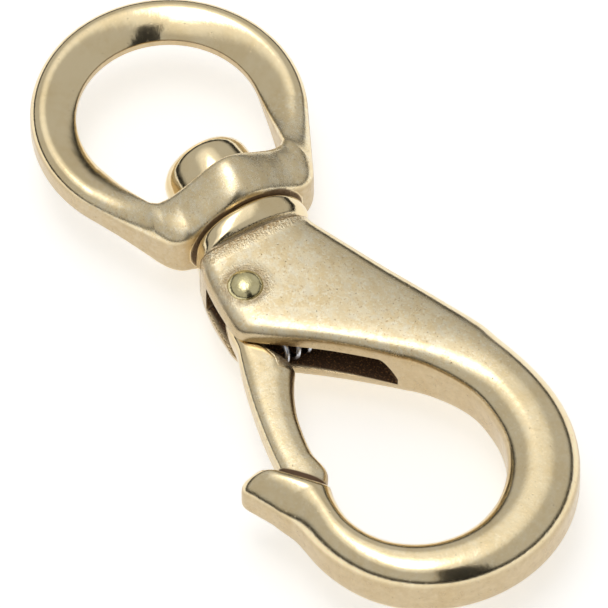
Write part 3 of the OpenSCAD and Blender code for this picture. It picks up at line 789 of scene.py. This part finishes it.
# Painted shadow: the gate's square end, shaded by the beak, is darkened near the end through the tarnish
# and grime numbers.
to_end = (gate_grid[..., :2] - END_RIM) @ -CLOSE_OUT
painted_end_shadow = 0.92 * ease((END_SHADOW_REACH - to_end) / 0.5)
gate = skin("gate_lever_casting", gate_grid, tarnish=np.clip(gate_side_shade + 0.6 * in_seat + painted_end_shadow, 0, 1),
            grime=np.clip(0.36 * in_seat + hidden + painted_end_shadow, 0, 1), raw=np.clip(in_seat + hidden, 0, 1))
cutter_grid = oval_grid([[end, GATE_BORE_R, GATE_BORE_R] for end in (-GATE_T, GATE_T)], 64)
cutter_grid = cutter_grid[..., [1, 2, 0]] + np.append(PIVOT, 0)
cut_out(gate, skin("gate_cutter", cutter_grid))
set_numbers(gate, satin=0.6 * ease((point_places(gate)[0] - 40) / 3))
dress(gate, "gate", "gate_lever", brass)

# %% [markdown]
# The rivet is turned from a yellower brass and its ends are peened into domes. It is a profile
# turned about its own axis, as the real one is.

# %% Rivet
def rivet_brass():
    material, shader, place = finish_tree("rivet_brass", 1.0)
    wear = place.noise(1.1, 4, 0.6)
    fine = place.noise(6, 2, 0.5)
    foot = attribute(place, "grime")
    colour = wear.step(0.35, 0.7).blend((0.80, 0.72, 0.42, 1), (0.70, 0.62, 0.33, 1))
    connect(shader, "Base Color", foot.blend(colour, (0.10, 0.06, 0.03, 1)))
    connect(shader, "Roughness", 0.10 + 0.1 * wear + 0.4 * foot)
    bump = place.make("ShaderNodeBump", {}, {
        "Height": wear * 0.5 + fine * 0.04, "Strength": 0.5, "Distance": 0.0003})
    connect(shader, "Normal", bump)
    return material


RIVET_R, RIVET_HEAD_R, RIVET_HEAD_H, SEAT_Z = 1.6, 2.55, 1.85, HB - 0.55
lean = np.radians(np.linspace(0, 90, 24))
rise = np.stack([SEAT_Z + RIVET_HEAD_H * np.cos(lean) ** 0.9, RIVET_HEAD_R * np.sin(lean) ** 0.92], 1)
rise[0, 1] = 0.02
half_profile = np.concatenate([rise, [[SEAT_Z, RIVET_HEAD_R - 0.1], [SEAT_Z, RIVET_R], [0, RIVET_R]]])
profile = np.concatenate([half_profile, half_profile[-2::-1] * [-1, 1]])
rivet_grid = oval_grid(profile[:, [0, 1, 1]], 64)[..., [1, 2, 0]]
foot_ring = ease((SEAT_Z + 0.35 - np.abs(rivet_grid[..., 2])) / 0.2)
rivet = skin("rivet", rivet_grid + np.append(PIVOT, 0), grime=0.8 * foot_ring)
dress(rivet, "hook", "pivot_rivet", rivet_brass())

# %% [markdown]
# The spring is a coil of bright steel wire: a small circle carried along a helix. On the real
# hook the coil is pressed shorter, towards the slot's ceiling, when the gate is pushed in.

# %% Spring
def spring_steel():
    material, shader, place = finish_tree("spring_steel", 1.0)
    streak = place.noise(1.6, 3, 0.55)
    steel = streak.step(0.3, 0.7).blend((0.80, 0.83, 0.90, 1), (0.55, 0.58, 0.64, 1))
    # Painted shade: the wire goes dark where the grime number is high, on the underside of the coil.
    connect(shader, "Base Color", attribute(place, "grime").blend(steel, (0.06, 0.04, 0.03, 1)))
    connect(shader, "Roughness", 0.22 + 0.12 * streak)
    return material


coil_r = (COIL_D - WIRE_D) / 2
low, high = SEAT_Y + 1.2 + WIRE_D / 2, CEILING_Y - SPRING_GAP - WIRE_D / 2
turns = np.linspace(0, COIL_TURNS, 260)[:, None]
turned = np.radians(-60 + 360 * turns)
wire = 2 * np.pi * np.arange(14)[None] / 14
reach = coil_r + WIRE_D / 2 * np.cos(wire)
climb = mix(low, high, turns / COIL_TURNS)
coil_grid = np.stack([COIL_X + reach * np.cos(turned), climb + WIRE_D / 2 * np.sin(wire),
                      reach * np.sin(turned)], -1)
# Painted shade: the grime number rises towards the underside of the coil.
spring = skin("gate_coil", coil_grid, grime=0.92 * ease((0.5 - coil_grid[..., 2]) / 0.9))
dress(spring, "hook", "gate_spring", spring_steel())
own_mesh(spring)

# %% [markdown]
# The stage: a plain pale floor under the barrel, and the light of a white tent. The tent is the
# world itself: bright overhead, darker towards the horizon, so that the rims of the brass get
# their thin dark lines. A narrow dark panel on the camera's side gives the small black
# reflections on the ring and the bowl.

# %% Floor
FLOOR_Z, FLOOR_HALF = cad_box[0].z - 0.0001, 3.0
floor_mesh = bpy.data.meshes.new("floor")
floor_corners = [(u * FLOOR_HALF, v * FLOOR_HALF, FLOOR_Z) for u, v in ((-1, -1), (1, -1), (1, 1), (-1, 1))]
floor_mesh.from_pydata(floor_corners, [], [(0, 1, 2, 3)])
floor = bpy.data.objects.new("floor", floor_mesh)
bpy.context.scene.collection.objects.link(floor)
paper, paper_shader, paper_place = finish_tree("floor_paper", 0.0, Roughness=0.9, Emission_Strength=0.45)
connect(paper_shader, "Base Color",
        paper_place.noise(0.01, 2).blend((0.90, 0.90, 0.90, 1), (0.92, 0.92, 0.92, 1)))
floor_mesh.materials.append(paper)

# %% Light
world = bpy.data.worlds.new("tent")
bpy.context.scene.world = world
world.use_nodes = True
tent = Sock(world.node_tree)
direction = tent.make("ShaderNodeTexCoord", out=0)
axes = world.node_tree.nodes.new("ShaderNodeSeparateXYZ")
world.node_tree.links.new(direction.socket, axes.inputs[0])
up = Sock(world.node_tree, axes.outputs["Z"])
walls = up.step(0.12, 0.34)


def along(towards):
    """How far a direction of the sky points along a unit vector."""
    return tent.make("ShaderNodeVectorMath", {"operation": "DOT_PRODUCT"},
                     {0: direction, 1: tuple(towards)}, out=1)


FIGURE_AT, FIGURE_HALF = AZIMUTH + math.radians(26), math.tan(math.radians(18))
ahead = along((math.sin(FIGURE_AT), -math.cos(FIGURE_AT), 0))
beside = tent.math("ABSOLUTE", along((math.cos(FIGURE_AT), math.sin(FIGURE_AT), 0)))
figure = (ahead * FIGURE_HALF - beside).step(0.0, 0.03) * (1.0 - up.step(0.925, 0.95))
right = along((math.cos(AZIMUTH), math.sin(AZIMUTH), 0)) + 0.10
away = along((-math.sin(AZIMUTH), math.cos(AZIMUTH), 0)) - 0.10


def oval(wide, deep):
    """1 in the middle of an oval patch of the sky and 0 at its rim, which is where
    (right / wide)^2 + (away / deep)^2 = 1."""
    u, v = right * (1 / wide), away * (1 / deep)
    return (1.0 - (u * u + v * v).step(0.3, 1.0)) * up.step(0.2, 0.4)


level = (0.02 + 0.50 * walls + 0.50 * oval(0.50, 0.74) + 2.2 * oval(0.22, 0.42)) * (1.0 - 0.94 * figure)
background = world.node_tree.nodes["Background"]
background.inputs["Color"].default_value = (1.0, 0.99, 0.97, 1)
world.node_tree.links.new(level.socket, background.inputs["Strength"])
bpy.context.scene.view_settings.view_transform = "Standard"
print("stage ready")
